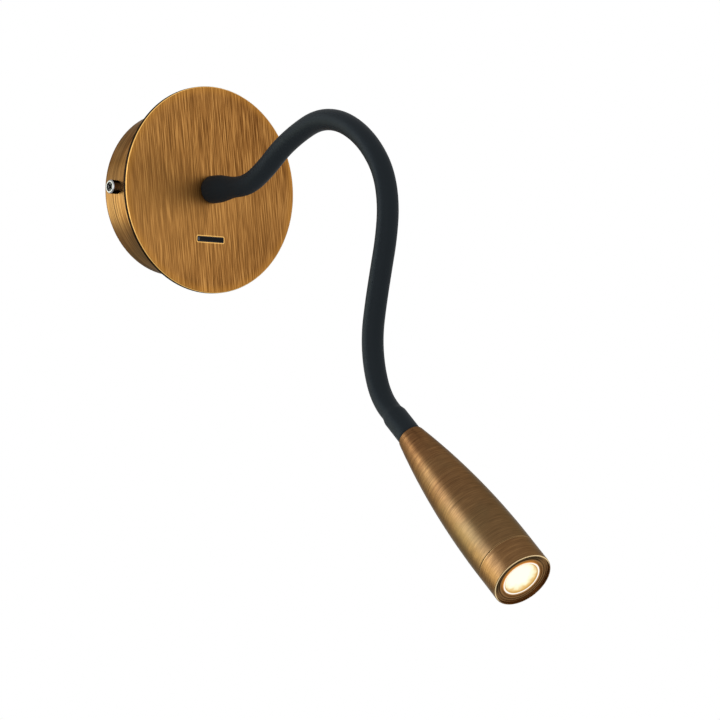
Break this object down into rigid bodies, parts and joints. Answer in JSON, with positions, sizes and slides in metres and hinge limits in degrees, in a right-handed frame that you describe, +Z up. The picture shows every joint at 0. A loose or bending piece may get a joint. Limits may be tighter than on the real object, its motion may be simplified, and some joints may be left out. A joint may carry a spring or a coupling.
{
  "type": "flexible wall lamp",
  "caption": "Wall-mounted LED reading lamp: round plate on a drum canopy with a rocker switch, a bendable gooseneck and a bullet-shaped spot head.",
  "frame": {"origin": "on the wall, at the middle between the two wall screws, behind the drum's centre", "axes": "+Y into the wall, +Z up, +X to the right for someone who faces the lamp"},
  "size_m": [0.1, 0.2726, 0.2445],
  "materials": {
    "antique_brass": "brushed antique brass, clear lacquer",
    "neck_rubber": "satin black sleeve",
    "chrome_screw": "polished",
    "zinc_steel": "bright zinc",
    "wound_steel": "plain wound steel",
    "turned_brass": "turned",
    "black_gloss": "gloss black",
    "black_plastic": "moulded black",
    "driver_plastic": "moulded white",
    "board_laminate": "green laminate",
    "lead_jacket": "black jacket",
    "brown_wire": "brown insulation",
    "blue_wire": "blue insulation",
    "plain_aluminium": "turned",
    "mirror_bowl": "bright metallised",
    "led_yellow": "phosphor",
    "lens_clear": "clear, lit warm white"
  },
  "bodies": {
    "wall_base": {"wall_bracket": "zinc_steel", "canopy_drum": "antique_brass", "front_plate": "antique_brass", "plate_screws": "zinc_steel", "side_screws": "chrome_screw", "rocker_housing": "black_plastic", "switch_tabs": "turned_brass", "driver_case": "driver_plastic", "driver_cover": "driver_plastic", "driver_board": "board_laminate", "terminal_block": "driver_plastic", "terminal_screws": "zinc_steel", "earth_tag": "zinc_steel", "earth_screw": "zinc_steel", "live_wire": "brown_wire", "neutral_wire": "blue_wire", "switch_wire": "brown_wire", "output_lead": "lead_jacket", "neck_base_fitting": "turned_brass", "neck_lock_washer": "zinc_steel", "neck_nut": "zinc_steel", "neck_sleeve_base": "neck_rubber", "neck_core_base": "wound_steel"},
    "rocker": {"rocker_paddle": "black_gloss"},
    "link_1": {"neck_sleeve_1": "neck_rubber", "neck_core_1": "wound_steel", "neck_lead_1": "lead_jacket"},
    "link_2": {"neck_sleeve_2": "neck_rubber", "neck_core_2": "wound_steel", "neck_lead_2": "lead_jacket"},
    "link_3": {"neck_sleeve_3": "neck_rubber", "neck_core_3": "wound_steel", "neck_lead_3": "lead_jacket"},
    "link_4": {"neck_sleeve_4": "neck_rubber", "neck_core_4": "wound_steel", "neck_lead_4": "lead_jacket"},
    "link_5": {"neck_sleeve_5": "neck_rubber", "neck_core_5": "wound_steel", "neck_lead_5": "lead_jacket"},
    "link_6": {"neck_sleeve_6": "neck_rubber", "neck_core_6": "wound_steel", "neck_lead_6": "lead_jacket"},
    "link_7": {"neck_sleeve_7": "neck_rubber", "neck_core_7": "wound_steel", "neck_lead_7": "lead_jacket"},
    "link_8": {"neck_sleeve_8": "neck_rubber", "neck_core_8": "wound_steel", "neck_lead_8": "lead_jacket"},
    "head": {"neck_sleeve_head": "neck_rubber", "neck_core_head": "wound_steel", "head_fitting": "turned_brass", "head_lead": "lead_jacket", "head_shell": "antique_brass", "front_ring": "antique_brass", "lens": "lens_clear", "reflector": "mirror_bowl", "led_board": "plain_aluminium", "led_emitter": "led_yellow", "heat_sink": "plain_aluminium", "board_screws": "zinc_steel"}
  },
  "joints": [
    {"name": "rocker_switch", "type": "hinge", "parent": "wall_base", "child": "rocker", "pos_m": [0, -0.0278, -0.024], "axis": [0, 0, 1], "range_deg": [0, 10]},
    {"name": "neck_bend_1", "type": "hinge", "parent": "wall_base", "child": "link_1", "pos_m": [0, -0.054, 0], "axis": [1, 0, 0], "range_deg": [-25, 25]},
    {"name": "neck_bend_2", "type": "hinge", "parent": "link_1", "child": "link_2", "pos_m": [0, -0.08122, 0.01129], "axis": [0, 0.5934, 0.8049], "range_deg": [-25, 25]},
    {"name": "neck_bend_3", "type": "hinge", "parent": "link_2", "child": "link_3", "pos_m": [0, -0.10794, 0.02466], "axis": [-1, 0, 0], "range_deg": [-25, 25]},
    {"name": "neck_bend_4", "type": "hinge", "parent": "link_3", "child": "link_4", "pos_m": [0, -0.13726, 0.02311], "axis": [0, -0.3875, 0.9219], "range_deg": [-25, 25]},
    {"name": "neck_bend_5", "type": "hinge", "parent": "link_4", "child": "link_5", "pos_m": [0, -0.16064, 0.00489], "axis": [1, 0, 0], "range_deg": [-25, 25]},
    {"name": "neck_bend_6", "type": "hinge", "parent": "link_5", "child": "link_6", "pos_m": [0, -0.16797, -0.02352], "axis": [0, -0.9959, -0.0906], "range_deg": [-25, 25]},
    {"name": "neck_bend_7", "type": "hinge", "parent": "link_6", "child": "link_7", "pos_m": [0, -0.16206, -0.0529], "axis": [-1, 0, 0], "range_deg": [-25, 25]},
    {"name": "neck_bend_8", "type": "hinge", "parent": "link_7", "child": "link_8", "pos_m": [0, -0.1588, -0.08256], "axis": [0, -0.9923, 0.1236], "range_deg": [-25, 25]},
    {"name": "neck_bend_9", "type": "hinge", "parent": "link_8", "child": "head", "pos_m": [0, -0.17153, -0.1089], "axis": [1, 0, 0], "range_deg": [-25, 25]}
  ]
}
